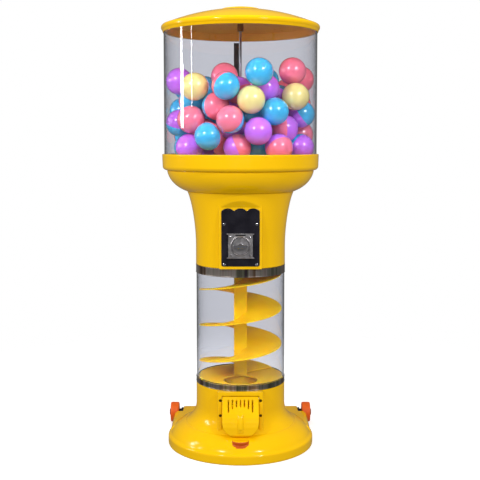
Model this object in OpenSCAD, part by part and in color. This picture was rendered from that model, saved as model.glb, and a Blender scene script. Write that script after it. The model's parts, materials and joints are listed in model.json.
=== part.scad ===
// Tall gumball machine: a clear globe of capsules on a coin-operated neck, above a clear
// spiral tower and a moulded base with two tilting wheels.
// Millimetres. The origin is on the floor under the tower's axis, the front faces -Y, +Z is up.

/* [Heights] */
// Floor to the top of the lid cap
total_h = 1300; // [1297:1:1303]
// Floor to the top face of the base, where the clear tower starts
base_h = 190; // [189:1:191]
// Floor to the bottom face of the neck, where the clear tower ends
neck_z = 545; // [544:1:546]
// Height of the collar that holds the globe
collar_h = 47; // [46:1:48]

/* [Radii] */
// Outer radius of the clear globe
globe_r = 225; // [224:1:226]
// Outer radius of the clear tower tube
tower_r = 131.7; // [131.5:0.1:132]
// Radius of the moulded neck and base where they meet the tower
stack_r = 133; // [133:0.1:133.3]
// Radius of the rim of the foot
foot_r = 218.5; // [217:0.5:219]
// Radius of the lid's rim
lid_r = 232.5; // [231:0.5:233]

/* [Walls] */
// Wall of the moulded shells
shell_t = 4; // [3.5:0.5:4]
// Wall of the clear globe and of the tower tube
clear_t = 3; // [2:0.5:3]

/* [Spiral] */
// Height lost in one turn of the ramp
pitch = 107.5; // [107:0.5:108]
// Outer radius of the ramp
ramp_r = 124; // [118:1:125]
// Thickness of the ramp
ramp_t = 3; // [2.5:0.5:3]
// Side of the square sleeves around the column
sleeve_w = 39; // [38:1:39]

/* [Capsules] */
// Radius of a capsule
capsule_r = 39.5; // [39:0.5:39.5]
// Number of capsules in the globe
capsule_count = 66; // [10:1:72]

/* [Mechanism] */
// Height of the coin mechanism's axis
mech_z = 613; // [612:1:614]
// Radius of the circle that the wheel's pockets are on
pocket_circle_r = 100; // [100:1:101]
// Radius of a pocket in the capsule wheel
pocket_r = 42; // [41:1:42]

/* [Wheels] */
// Radius of a tilting wheel
wheel_r = 31.5; // [30:0.5:32]
// Width of a tilting wheel
wheel_w = 27; // [26:1:27]

/* [Hidden] */
$fn = 96;

// Reach of a cut sideways and upwards, running clearance, and the gap between faces that move.
far = 400;
tall = total_h + 100;
run = 0.05;
gap = 0.3;

// Heights of the stack, from the floor up.
band_low_h = 16;
band_high_h = 24;
floor_z = base_h + band_low_h;
neck_top = neck_z + 217;
bowl_top = neck_top + 63;
collar_top = bowl_top + collar_h;
glass_z = collar_top - 15;
glass_top = total_h - 71;
lid_rim_z = total_h - 75;

// Radii of the grooves that hold the globe's two edges.
slot_out = globe_r + 0.3;
slot_in = globe_r - clear_t - 0.3;

// Hole through the flanges where the base and the neck meet the tower.
mouth_r = 118;

// Foot: rim, convex top and crease, then the flare up to the tower.
crease_r = 165;
crease_z = 70;
flare_z = 125;

// Block behind the foot that carries the wheels.
block_x = 214.5;
block_y = 150;
inner_block_x = 185;
inner_block_y = 206;
corner_r = 8;
block_h = 47;
axle_y = 184;
axle_z = wheel_r + 2.5;
axle_r = 6;
wheel_x = inner_block_x + 13.5;

// Dispensing door.
door_y = -143.5;
door_w = 133;
door_open_x = 54;
door_low_z = 74;
hinge_y = -140;
hinge_z = 172;
hinge_r = 5;
pin_r = 2.5;
pin_x = 62;
flap_x = 52.5;
flap_t = 3;
slot_pitch = 11.5;
outlet_y = -64;
outlet_r = 50;
screw_x = 58;
screw_z = [121, 165];
screw_r = 3.8;

// Front panel of the neck.
panel_y = -134.5;
panel_x = 61;
panel_top = neck_z + 203;
panel_lean_h = 26;
panel_lean = 22;
plate_t = 3;
plate_x = 54.5;
plate_top = neck_z + 175;
plate_low = neck_z + 9;
face_w = 69.4;
face_h = 71;
face_t = 8.5;
face_y = panel_y - plate_t - face_t;
flange_x = 39;
flange_t = 3;
bezel_r = 28.5;
dish_r = 26;
dish_depth = 5;
coin_x = 15;
shaft_r = 4;
housing_x = 34;
housing_h = 33;
housing_y = -90;

// Gear train: the drive shaft turns once for two turns of the crank, the capsule wheel once
// for six.
drive_y = -60;
drive_r = 5;
mech_teeth = 8;
face_teeth = 16;
face_gear_low = mech_z + 15;
pinion_teeth = 8;
gear_teeth = 24;
gear_low = neck_top + 4;
gear_h = 10;

// Capsule wheel on its deck, inside the bowl.
deck_z = bowl_top - 43;
deck_t = 4;
deck_r = 178;
wheel_low = deck_z + deck_t + 2.3;
wheel_top = bowl_top + 21;
drum_r = 150;
hub_r = 15;
pockets = 6;
rod_r = 3.5;
guard_z = wheel_top + 3;
funnel_r = 153;
chute_x = 80;
chute_r = 43;
chute_t = 2.5;
chute_knee_z = 690;
chute_low_z = 615;
flange_in = 144;
bolt_r = 147;
bar_z = neck_top - 10;
bar_t = 6;

// Cash door: its middle is turned this far round from the back.
cash_turn = 50;
cash_low = neck_z + 11;
cash_high = neck_z + 72;
cash_mid = (cash_low + cash_high) / 2;
cash_pin = [51.5, 126.7];
cash_pin_r = 2;
lock_x = -30;
lock_r = 8;

// Spiral: degrees from +X, counter-clockwise, where the ramp starts, and its height there.
ramp_step = 7.5;
ramp_start = 30;
ramp_zero_z = 521.9;
turn_steps = 48;
last_step = 143;

function bezier(a, b, c, d, n) =
    [for (i = [0:n]) let (t = i / n, s = 1 - t)
        s * s * s * a + 3 * s * s * t * b + 3 * s * t * t * c + t * t * t * d];
function arc(cx, cz, r, a0, a1, n = 6) =
    [for (i = [0:n]) let (a = a0 + (a1 - a0) * i / n) [cx + r * cos(a), cz + r * sin(a)]];
function flip(p) = [for (i = [len(p) - 1:-1:0]) p[i]];
// The same outline moved inwards by t, its ends kept at their own heights.
function inset(p, t) =
    let (low = p[0][1], high = p[len(p) - 1][1])
    [for (i = [0:len(p) - 1])
        let (d = p[min(i + 1, len(p) - 1)] - p[max(i - 1, 0)],
             q = p[i] + t * [-d[1], d[0]] / norm(d))
        [q[0], i == 0 ? low : i == len(p) - 1 ? high : q[1]]];

// Outer profiles, radius against height, from the bottom up.
neck_profile = concat(
    [[stack_r, neck_z]],
    bezier([stack_r, neck_z + 55], [stack_r, neck_z + 125], [147, neck_top - 24],
           [158, neck_top], 12));
bowl_profile = concat(
    bezier([158, neck_top], [184, neck_top + 9], [210, neck_top + 28], [217, bowl_top - 4], 10),
    [[217, bowl_top]]);
foot_profile = concat(
    [[foot_r - 1.5, 0], [foot_r, 3], [foot_r, 23]],
    arc(foot_r - 7, 23, 7, 10, 60, 4),
    bezier([210, 32.5], [202, 48], [185, 62], [crease_r, crease_z], 8));
flare_profile = concat(
    bezier([crease_r, crease_z], [152, crease_z + 8], [stack_r, crease_z + 25],
           [stack_r, flare_z], 10),
    [[stack_r, base_h]]);
base_profile = concat(foot_profile, [for (i = [1:len(flare_profile) - 1]) flare_profile[i]]);

module revolve_solid(p) {
    rotate_extrude() polygon(concat([[0, p[0][1]]], p, [[0, p[len(p) - 1][1]]]));
}
module ring(r_out, r_in, z, h) {
    translate([0, 0, z]) linear_extrude(h) difference() {
        circle(r_out);
        circle(r_in);
    }
}
module box(x0, x1, y0, y1, z0, z1) {
    translate([x0, y0, z0]) cube([x1 - x0, y1 - y0, z1 - z0]);
}
// Cylinder along Y from y0 to y1.
module rod_y(x, z, r, y0, y1) {
    translate([x, y0, z]) rotate([-90, 0, 0]) cylinder(r = r, h = y1 - y0);
}
// Cylinder along X from x0 to x1.
module rod_x(y, z, r, x0, x1) {
    translate([x0, y, z]) rotate([0, 90, 0]) cylinder(r = r, h = x1 - x0);
}
// Outline in X and Z, extruded from y0 to y1.
module along_y(y0, y1) {
    translate([0, y1, 0]) rotate([90, 0, 0]) linear_extrude(y1 - y0) children();
}
// Outline in Y and Z, extruded from -x to x.
module along_x(x) {
    rotate([90, 0, 90]) translate([0, 0, -x]) linear_extrude(2 * x) children();
}
module rounded(r) {
    offset(r = r, $fn = 24) offset(delta = -r) children();
}

// ---- Base ----

// Rectangle from -x to x and from y = -60 to y, with rounded corners.
module block_slab(x, y, r) {
    rounded(r) translate([-x, -60]) square([2 * x, y + 60]);
}
module block_plan(inset_by) {
    offset(delta = -inset_by) union() {
        block_slab(block_x, block_y, 12);
        block_slab(inner_block_x, inner_block_y, corner_r);
    }
}
module block_side(inset_by) {
    offset(delta = -inset_by)
        polygon([[-block_x, -20], [block_x, -20], [block_x, 24], [block_x - 2, 33],
                 [block_x - 6, 42], [block_x - 14, block_h], [14 - block_x, block_h],
                 [6 - block_x, 42], [2 - block_x, 33], [-block_x, 24]]);
}
module block(inset_by) {
    intersection() {
        linear_extrude(block_h) block_plan(inset_by);
        along_y(0, far) block_side(inset_by);
    }
}
module base_inside() {
    revolve_solid(inset(base_profile, shell_t));
    block(shell_t);
}
// Fixed lip under the flap, a shallow cup on a cone.
module finger_lip() {
    lip_r = 31;
    lip_low = 40;
    lip_high = 62;
    rim = 6;
    intersection() {
        translate([0, -171, 0]) {
            translate([0, 0, lip_high - rim]) cylinder(r = lip_r, h = rim);
            translate([0, 0, lip_low]) cylinder(r1 = 14, r2 = lip_r, h = lip_high - rim - lip_low);
        }
        box(-23, 23, -far, -150, lip_low, lip_high);
    }
}
module door_opening() {
    half = 50;
    round_h = 40;
    along_y(-far, -100) translate([0, door_low_z + round_h]) {
        translate([-half, 0]) square([2 * half, 60]);
        scale([half / round_h, 1]) circle(round_h);
    }
}
module base_shell() {
    wall_x = inner_block_x - 2;
    color("gold") difference() {
        union() {
            difference() {
                union() {
                    revolve_solid(base_profile);
                    block(0);
                    finger_lip();
                }
                base_inside();
            }
            ring(stack_r - 1, mouth_r, base_h - shell_t, shell_t);
        }
        translate([0, 0, base_h - 2 * shell_t]) cylinder(r = mouth_r, h = tall);
        door_opening();
        for (side = [-1, 1]) {
            rod_x(axle_y, axle_z, axle_r + 0.1, side * wall_x - 5, side * wall_x + 5);
        }
    }
}
module base_plate() {
    color("dimgray") intersection() {
        union() {
            revolve_solid(inset(base_profile, shell_t + 0.3));
            block(shell_t + 0.3);
        }
        cylinder(r = far, h = 3);
    }
}

// ---- Dispensing door ----

module door_frame() {
    color("gold") difference() {
        intersection() {
            along_y(door_y, -100)
                translate([-door_w / 2, 60]) rounded(5) square([door_w, base_h - 60]);
            linear_extrude(far)
                translate([-door_w / 2, door_y]) rounded(6) square([door_w, 100]);
        }
        revolve_solid(base_profile);
        along_y(-far, 0) translate([-door_open_x, 0]) square([2 * door_open_x, hinge_z + 7]);
        rod_x(hinge_y, hinge_z, pin_r, -pin_x, pin_x);
        for (x = [-screw_x, screw_x], z = screw_z) {
            rod_y(x, z, screw_r + 0.4, door_y - 1, door_y + 4);
        }
    }
}
module door_frame_screws() {
    color("gray") for (x = [-screw_x, screw_x], z = screw_z) {
        difference() {
            rod_y(x, z, screw_r, door_y + 1.5, door_y + 4);
            box(x - 0.5, x + 0.5, door_y + 1, door_y + 2.5, z - 3, z + 3);
        }
    }
}
module flap_profile() {
    polygon(concat(
        [[hinge_y - 2, hinge_z + 4.5]],
        bezier([hinge_y - 5, hinge_z], [-149, 150], [-182, 140], [-184, 98], 8),
        arc(-174, 79.5, 10, 200, 270, 4),
        [[-170, 69.5], [-152, 90], [-137, 115], [-137, hinge_z + 4.5]]));
}
module flap_front() {
    union() {
        translate([-flap_x, 112]) square([2 * flap_x, 70]);
        translate([0, 112]) scale([1, 45 / flap_x]) circle(flap_x);
    }
}
module flap_hollow() {
    intersection() {
        union() {
            offset(delta = -flap_t) flap_profile();
            translate([3 * flap_t, 0]) offset(delta = -flap_t) flap_profile();
        }
        translate([-far, 0]) square([far, hinge_z - 8]);
    }
}
// Seven upright slots, the outer ones longer.
module flap_slots() {
    high = hinge_z - 4;
    for (i = [-3:3]) {
        low = abs(i) == 3 ? 138 : abs(i) == 2 ? 146 : 150;
        along_y(-far, -100)
            translate([i * slot_pitch - 2, low]) rounded(1.9) square([4, high - low]);
    }
}
module flap_rib() {
    intersection() {
        along_x(7.5) difference() {
            offset(delta = flap_t) flap_profile();
            offset(delta = -1) flap_profile();
        }
        box(-far, far, -far, -160, 84, 133);
    }
}
module door_flap() {
    color("gold") difference() {
        union() {
            difference() {
                intersection() {
                    along_x(far) flap_profile();
                    along_y(-far, 0) flap_front();
                }
                intersection() {
                    along_x(flap_x - flap_t) flap_hollow();
                    along_y(-far, 0) offset(delta = -flap_t) flap_front();
                }
            }
            flap_rib();
            rod_x(hinge_y, hinge_z, hinge_r, -flap_x, flap_x);
        }
        flap_slots();
        rod_x(hinge_y, hinge_z, pin_r + run, -far, far);
    }
}
module door_hinge_pin() {
    color("silver") rod_x(hinge_y, hinge_z, pin_r, -pin_x, pin_x);
}
// Sloping tray under the tower, with a narrower spout through the door's opening.
module dispense_tray() {
    half = 51;
    spout = 36;
    wall = 3;
    top = base_h - 6;
    back_top = base_h + band_low_h - 5;
    color("orange") difference() {
        union() {
            along_x(half) polygon([
                [-4, back_top], [-4, 112], [-118, 80], [-118, top], [-70, top], [-70, back_top]]);
            along_x(spout) polygon([[-117, 100], [-117, 80], [-137, 77.4], [-137, 90]]);
        }
        along_x(half - wall) polygon([[-7, tall], [-7, 115], [-119, 83.5], [-119, tall]]);
        along_x(spout - wall)
            polygon([[-110, top], [-110, 86.2], [-118, 83.5], [-138, 81], [-138, top]]);
    }
}

// ---- Tower ----

// Disc on a skirt that stands on the base, with the hole where a capsule drops to the tray.
module floor_plate() {
    plate_r = tower_r - clear_t - 0.2;
    color("orange") difference() {
        translate([0, 0, base_h]) cylinder(r = plate_r, h = band_low_h);
        translate([0, 0, base_h - 1]) cylinder(r = plate_r - 4, h = band_low_h - 3);
        translate([0, outlet_y, base_h]) cylinder(r = outlet_r, h = 30);
    }
}
module band(z, h) {
    color("dimgray") ring(stack_r + 0.6, tower_r, z, h);
}
module lower_band() {
    band(base_h, band_low_h);
}
module upper_band() {
    band(neck_z - band_high_h, band_high_h);
}
module tower_tube() {
    color("lightblue", 0.35) ring(tower_r, tower_r - clear_t, base_h, neck_z - base_h);
}
module spiral_column() {
    half = sleeve_w / 2 - 3;
    color("goldenrod") difference() {
        box(-half, half, -half, half, floor_z, neck_z + 7);
        box(3 - half, half - 3, 3 - half, half - 3, floor_z - 1, neck_z + 8);
    }
}
function ramp_z(a) = ramp_zero_z + pitch * a / 360;
function square_r(a, half) = half / max(abs(cos(a)), abs(sin(a)));
// One stretch of the ramp: rings of four points swept down from step first to step last.
module ramp(first, last) {
    rings = [for (i = [last:-1:first])
        let (a = ramp_start - i * ramp_step, c = [cos(a), sin(a)], z = ramp_z(a),
             r = square_r(a, sleeve_w / 2 - 0.5))
        each [[r * c[0], r * c[1], z - ramp_t], [ramp_r * c[0], ramp_r * c[1], z - ramp_t],
              [ramp_r * c[0], ramp_r * c[1], z], [r * c[0], r * c[1], z]]];
    n = last - first;
    polyhedron(rings, concat(
        [[3, 2, 1, 0]],
        [for (i = [0:n - 1], k = [0:3])
            let (a = 4 * i + k, b = 4 * i + (k + 1) % 4)
            each [[b, b + 4, a], [b + 4, a + 4, a]]],
        [[4 * n, 4 * n + 1, 4 * n + 2, 4 * n + 3]]), convexity = 6);
}
module spiral_turn(first, last, low, high) {
    outer = sleeve_w / 2;
    inner = outer - 2.9;
    color("orange") union() {
        difference() {
            box(-outer, outer, -outer, outer, low, high);
            box(-inner, inner, -inner, inner, low - 1, high + 1);
        }
        ramp(first, last);
    }
}
// Height of the bottom of the ramp after n whole turns.
function turn_low(n) = ramp_z(ramp_start - 360 * n) - ramp_t;
module spiral_turn_1() {
    spiral_turn(0, turn_steps, turn_low(1), neck_z + 3);
}
module spiral_turn_2() {
    spiral_turn(turn_steps, 2 * turn_steps, turn_low(2), turn_low(1));
}
module spiral_turn_3() {
    spiral_turn(2 * turn_steps, last_step, floor_z, turn_low(2));
}

// ---- Neck ----

module cash_opening(x, y0, y1) {
    rotate([0, 0, cash_turn]) box(-x, x, y0, y1, cash_low, cash_high);
}
module cash_lugs() {
    rotate([0, 0, cash_turn]) difference() {
        for (z = [cash_low - 4, cash_high - 2]) {
            translate([cash_pin[0], cash_pin[1], z]) cylinder(r = 3.2, h = 6);
            box(44, 54, 116, cash_pin[1] - 1.2, z, z + 6);
        }
        translate(cash_pin) cylinder(r = cash_pin_r, h = tall);
        cylinder(r = stack_r - 1, h = tall);
    }
}
module bolt_circle() {
    for (a = [30:60:330]) {
        rotate(a) translate([bolt_r, 0, 0]) children();
    }
}
// Everything in front of the flat panel, which leans out into the flare at its top.
module panel_cut() {
    along_x(panel_x) polygon([
        [-far, 0], [panel_y, 0], [panel_y, panel_top - panel_lean_h],
        [panel_y - panel_lean, panel_top], [-far, panel_top]]);
}
module neck_shell() {
    color("gold") difference() {
        union() {
            difference() {
                revolve_solid(neck_profile);
                revolve_solid(inset(neck_profile, shell_t));
                panel_cut();
            }
            intersection() {
                box(-panel_x - 4, panel_x + 4, -far, panel_y + 4, neck_z + 100, panel_top + 4);
                difference() {
                    revolve_solid(neck_profile);
                    panel_cut();
                }
            }
            difference() {
                box(-panel_x, panel_x, panel_y, -112, neck_z, panel_top);
                cylinder(r = stack_r - shell_t, h = tall);
            }
            ring(stack_r - 1, mouth_r, neck_z, shell_t);
            ring(156.3, flange_in, neck_top - shell_t, shell_t);
            cash_lugs();
        }
        box(-40, 40, -far, -100, mech_z - housing_h - 1, mech_z + housing_h + 1);
        cash_opening(42, 100, 160);
        bolt_circle() translate([0, 0, neck_top - 9]) cylinder(r = 2, h = 10);
    }
}
// Shelf over the spiral that carries the cash box, open where the capsules come down.
module neck_floor() {
    bore = sleeve_w / 2 - 2.9;
    edge = 26;
    color("orange") difference() {
        intersection() {
            translate([0, 0, neck_z + shell_t]) cylinder(r = stack_r - shell_t - 0.3, h = 3);
            translate([0, 0, neck_z]) linear_extrude(10)
                polygon(concat([[-edge, -edge], [edge, -edge], [edge, 10]],
                               [for (a = [32:17:168]) 200 * [cos(a), sin(a)]]));
        }
        box(-bore, bore, -bore, bore, 0, tall);
    }
}
module coin_slot() {
    box(-coin_x, coin_x, -far, -100, mech_z + 29, mech_z + 32.5);
}
// Back plate with three scallops along its top edge.
module mech_plate() {
    lobe_r = 24.7;
    color("black") difference() {
        along_y(panel_y - plate_t, panel_y) rounded(6) intersection() {
            union() {
                translate([-plate_x, plate_low]) square([2 * plate_x, plate_top - 12 - plate_low]);
                for (i = [-1:1]) {
                    translate([i * 36.3, plate_top - lobe_r]) circle(lobe_r);
                }
            }
            translate([-plate_x, 0]) square([2 * plate_x, tall]);
        }
        rod_y(0, mech_z, 9, panel_y - 10, panel_y + 1);
        coin_slot();
    }
}
module mech_plate_screws() {
    color("silver") for (x = [-46.6, 46.6], z = [plate_low + 5, plate_low + 121]) {
        intersection() {
            translate([x, panel_y - plate_t + 4.5, z]) sphere(7);
            rod_y(x, z, 4, panel_y - plate_t - 5, panel_y - plate_t);
        }
    }
}
// Cast face with flanges above and below, a bevelled ring round the dial and the coin slot.
module mech_face() {
    bezel_h = 2.5;
    color("silver") difference() {
        union() {
            along_y(face_y, panel_y - plate_t)
                translate([-face_w / 2, mech_z - face_h / 2]) square([face_w, face_h]);
            for (z = [mech_z - face_h / 2, mech_z + face_h / 2 - flange_t]) {
                box(-flange_x, flange_x, face_y, panel_y - plate_t, z, z + flange_t);
            }
            translate([0, face_y, mech_z]) rotate([90, 0, 0])
                cylinder(r1 = bezel_r, r2 = bezel_r - 1.5, h = bezel_h);
        }
        rod_y(0, mech_z, dish_r, face_y - bezel_h - 1, face_y + dish_depth);
        rod_y(0, mech_z, shaft_r + run, -far, 0);
        coin_slot();
    }
}
module mech_face_rivets() {
    color("white") for (x = [-27.5, 27.5], z = [mech_z - 27, mech_z + 27]) {
        intersection() {
            translate([x, face_y + 2, z]) sphere(4);
            rod_y(x, z, 4, face_y - 5, face_y);
        }
    }
}
module mech_housing() {
    wall = 2;
    inner_x = housing_x - wall;
    inner_h = housing_h - wall;
    color("slategray") difference() {
        box(-housing_x, housing_x, panel_y, housing_y, mech_z - housing_h, mech_z + housing_h);
        box(-inner_x, inner_x, panel_y + wall, housing_y - wall, mech_z - inner_h,
            mech_z + inner_h);
        rod_y(0, mech_z, shaft_r + run, -far, 0);
        coin_slot();
        box(-40, -30, -118, -94, mech_z - 8, mech_z + 12);
    }
}
// Turning disc in the dish, with a notch that takes the coin.
module coin_dial() {
    color("silver") difference() {
        rod_y(0, mech_z, dish_r - 2, face_y + 1.2, face_y + dish_depth - gap);
        box(-1.4, 1.4, face_y, face_y + dish_depth + 1, mech_z + 10, mech_z + 30);
    }
}
module crank_handle() {
    grip_x = 21;
    grip_z = 4.5;
    color("silver") union() {
        rod_y(0, mech_z, 9, face_y - 12, face_y + 1.2);
        along_y(face_y - 14, face_y - 5)
            translate([-grip_x, mech_z - grip_z]) rounded(4.4) square([2 * grip_x, 2 * grip_z]);
    }
}
module mech_shaft() {
    color("silver") rod_y(0, mech_z, shaft_r, face_y + dish_depth - gap, -79);
}
// Gear outline: tooth half-widths w_root and w_tip, the first tooth at angle phase.
module gear_outline(teeth, root, tip, w_root, w_tip, phase) {
    circle(root);
    for (i = [0:teeth - 1]) {
        rotate(phase + 360 * i / teeth)
            polygon([[root - 1, -w_root], [tip, -w_tip], [tip, w_tip], [root - 1, w_root]]);
    }
}
module mech_pinion() {
    color("brown") difference() {
        along_y(-88, -80) translate([0, mech_z])
            gear_outline(mech_teeth, 9.5, 13.2, 1.5, 0.9, 90);
        rod_y(0, mech_z, shaft_r, -far, 0);
    }
}
// Disc with a ring of teeth under it, which the crank's pinion turns.
module face_gear() {
    color("brown") difference() {
        translate([0, drive_y, 0]) {
            translate([0, 0, face_gear_low]) cylinder(r = 28, h = 6);
            for (i = [0:face_teeth - 1]) {
                rotate(-90 + (i + 0.5) * 360 / face_teeth)
                    box(22, 26, -1.1, 1.1, face_gear_low - 4.5, face_gear_low + 1);
            }
        }
        translate([0, drive_y, 0]) cylinder(r = drive_r, h = tall);
    }
}
module drive_shaft() {
    color("silver") translate([0, drive_y, 0]) {
        translate([0, 0, face_gear_low]) cylinder(r = drive_r, h = deck_z - 3 - face_gear_low);
        ring(8, drive_r, mech_z + housing_h + 3 + gap, 5);
    }
}
// Bent plate on top of the housing, with a bearing hole in each of its two tabs.
module drive_bracket() {
    half = 20;
    back = -46;
    web_y = -84;
    t = 3;
    low = mech_z + housing_h;
    high = low + 94;
    color("slategray") difference() {
        union() {
            box(-half, half, -124, back, low, low + t);
            box(-half, half, web_y, web_y + t, low, high + t);
            box(-half, half, web_y, back, high, high + t);
        }
        translate([0, drive_y, 0]) cylinder(r = drive_r + run, h = tall);
    }
}
module wheel_pinion() {
    color("brown") translate([0, drive_y, gear_low]) linear_extrude(gear_h) difference() {
        gear_outline(pinion_teeth, 11.5, 18, 2.6, 1.3, 90 + 180 / pinion_teeth);
        circle(drive_r);
    }
}
module wheel_gear() {
    color("brown") translate([0, 0, gear_low]) linear_extrude(gear_h) difference() {
        gear_outline(gear_teeth, 41.5, 48, 2.8, 1.5, -90);
        circle(hub_r);
    }
}
// Star wheel: between its six arms a round-ended notch for each capsule, open at the rim.
module capsule_wheel() {
    color("white") difference() {
        union() {
            translate([0, 0, wheel_low]) cylinder(r = drum_r, h = wheel_top - wheel_low);
            translate([0, 0, gear_low]) cylinder(r = hub_r, h = wheel_low - gear_low + 1);
            translate([0, 0, wheel_top]) cylinder(r1 = 30, r2 = 9, h = 20);
        }
        for (i = [0:pockets - 1]) {
            rotate(i * 360 / pockets) {
                translate([pocket_circle_r, 0, wheel_low - 1]) cylinder(r = pocket_r, h = tall);
                box(pocket_circle_r, far, -pocket_r, pocket_r, wheel_low - 1, tall);
            }
        }
        cylinder(r = rod_r + run, h = tall);
    }
}
module hub_bush() {
    color("goldenrod") {
        ring(19, hub_r + run, deck_z, deck_t);
        ring(24, hub_r + run, deck_z + deck_t, 2);
    }
}
module wheel_deck() {
    color("gainsboro") translate([0, 0, deck_z]) linear_extrude(deck_t) difference() {
        circle(deck_r);
        circle(19);
        translate([pocket_circle_r, 0]) circle(pocket_r);
    }
}
// Plate over the drop hole, so that only the capsule in the pocket falls.
module drop_guard() {
    color("gainsboro") difference() {
        translate([pocket_circle_r, 0, guard_z]) linear_extrude(2) union() {
            circle(pocket_r + 4);
            translate([0, -20]) square([88, 40]);
        }
        funnel_solid();
    }
}
module chute_pipe(r) {
    lean = atan((pocket_circle_r - chute_x) / (deck_z - chute_knee_z));
    translate([chute_x, 0, chute_low_z - 1]) cylinder(r = r, h = chute_knee_z - chute_low_z + 1);
    translate([chute_x, 0, chute_knee_z]) {
        sphere(r);
        rotate([0, lean, 0]) cylinder(r = r, h = 130);
    }
}
module drop_chute() {
    color("orange") intersection() {
        difference() {
            chute_pipe(chute_r + chute_t);
            chute_pipe(chute_r);
        }
        box(-far, far, -far, far, chute_low_z, deck_z);
    }
}
// Open trough that slopes from the housing's side down to the cash box.
module coin_chute() {
    half = 12;
    t = 1.5;
    color("silver") translate([-46.5, -112, mech_z + 10]) rotate([0, 0, 10]) rotate([-14, 0, 0])
        along_y(0, 130) difference() {
            translate([-half, -8]) square([2 * half, 16]);
            translate([t - half, t - 8]) square([2 * (half - t), 20]);
        }
}
module cash_box() {
    half = 38;
    t = 1.5;
    low = neck_z + shell_t + 3;
    high = neck_z + 36;
    color("slategray") rotate([0, 0, cash_turn]) difference() {
        box(-half, half, 50, 100, low, high);
        box(t - half, half - t, 50 + t, 100 - t, low + t, high + 1);
    }
}
module cash_door() {
    low = cash_low + 4;
    h = cash_high - cash_low - 8;
    color("gold") rotate([0, 0, cash_turn]) difference() {
        union() {
            intersection() {
                ring(stack_r + 3 + 2 * gap, stack_r + 2 * gap, low, h);
                box(-47, 51, 100, 160, 0, tall);
            }
            translate([cash_pin[0], cash_pin[1], low]) cylinder(r = 3.2, h = h);
        }
        translate(cash_pin) cylinder(r = cash_pin_r + run, h = tall);
        rod_y(lock_x, cash_mid, lock_r + run, 0, far);
    }
}
module cash_door_pin() {
    color("silver") rotate([0, 0, cash_turn]) translate([cash_pin[0], cash_pin[1], cash_low - 4])
        cylinder(r = cash_pin_r, h = cash_high - cash_low + 8);
}
// Lock barrel with its key slot outside and its cam arm inside.
module cash_lock() {
    front = 138;
    back = 108;
    color("silver") rotate([0, 0, cash_turn]) difference() {
        union() {
            rod_y(lock_x, cash_mid, lock_r, back, front);
            box(lock_x - 4, lock_x + 4, back, back + 3, cash_mid - 26, cash_mid);
        }
        box(lock_x - 1, lock_x + 1, front - 1.5, front + 1, cash_mid - 5, cash_mid + 5);
    }
}

// ---- Hopper ----

module hopper_bowl() {
    color("gold") difference() {
        union() {
            difference() {
                revolve_solid(bowl_profile);
                revolve_solid(inset(bowl_profile, shell_t));
            }
            intersection() {
                revolve_solid(bowl_profile);
                union() {
                    ring(far, flange_in, neck_top, shell_t);
                    ring(far, 164, deck_z - shell_t, shell_t);
                }
            }
        }
        bolt_circle() translate([0, 0, neck_top - 1]) cylinder(r = 2, h = 10);
    }
}
module bowl_screws() {
    color("silver") bolt_circle() {
        translate([0, 0, neck_top - 9]) cylinder(r = 2, h = 9 + shell_t);
        translate([0, 0, neck_top + shell_t]) cylinder(r = 3.8, h = 3);
    }
}
// Collar and cone that lead the capsules into the wheel.
module funnel_solid() {
    slope = 20 / 61;
    t = 3;
    top_r = globe_r - 7.8;
    low = deck_z + deck_t;
    knee = bowl_top + 13;
    rotate_extrude() polygon([
        [funnel_r, low], [funnel_r + t, low], [funnel_r + t, knee - t],
        [top_r, knee - t + slope * (top_r - funnel_r - t)],
        [top_r, knee + slope * (top_r - funnel_r)], [funnel_r, knee]]);
}
module hopper_funnel() {
    color("gold") funnel_solid();
}
module rod_crossbar() {
    half_l = 148;
    half_w = 15;
    color("slategray") rotate(-45) difference() {
        box(-half_l, half_l, -half_w, half_w, bar_z, bar_z + bar_t);
        cylinder(r = rod_r, h = tall);
    }
}
module centre_rod() {
    low = bar_z - 14;
    color("silver") translate([0, 0, low]) cylinder(r = rod_r, h = total_h - 38 - low);
}
module rod_nuts() {
    color("silver") for (z = [bar_z - 6, bar_z + bar_t]) {
        translate([0, 0, z]) linear_extrude(6) difference() {
            circle(r = 7.5, $fn = 6);
            circle(rod_r);
        }
    }
}
// Ring on the bowl, with a groove that the globe stands in.
module collar_ring() {
    lip_r = 205;
    inner_r = globe_r - 7.5;
    r_out = globe_r + 5.5;
    color("gold") rotate_extrude() polygon(concat(
        [[lip_r, bowl_top], [218, bowl_top]],
        arc(r_out - 12, bowl_top + 12, 12, -88, -10, 6),
        arc(r_out - 2, collar_top - 3, 3, 0, 90, 4),
        [[slot_out, collar_top], [slot_out, glass_z], [slot_in, glass_z], [slot_in, collar_top],
         [inner_r, collar_top], [inner_r, bowl_top + 4], [lip_r, bowl_top + 4]]));
}
module globe_tube() {
    color("lightblue", 0.35) ring(globe_r, globe_r - clear_t, glass_z, glass_top - glass_z);
}
// Strip inside the back of the globe, over the joint in its rolled sheet.
module globe_joint_strip() {
    r = globe_r - clear_t;
    color("black") intersection() {
        ring(r, r - 1.5, collar_top + 3, glass_top - collar_top - 12);
        box(-21, -4.5, 0, far, 0, tall);
    }
}

// ---- Lid ----

lid_t = 3.5;
spigot_r = 8;
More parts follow.
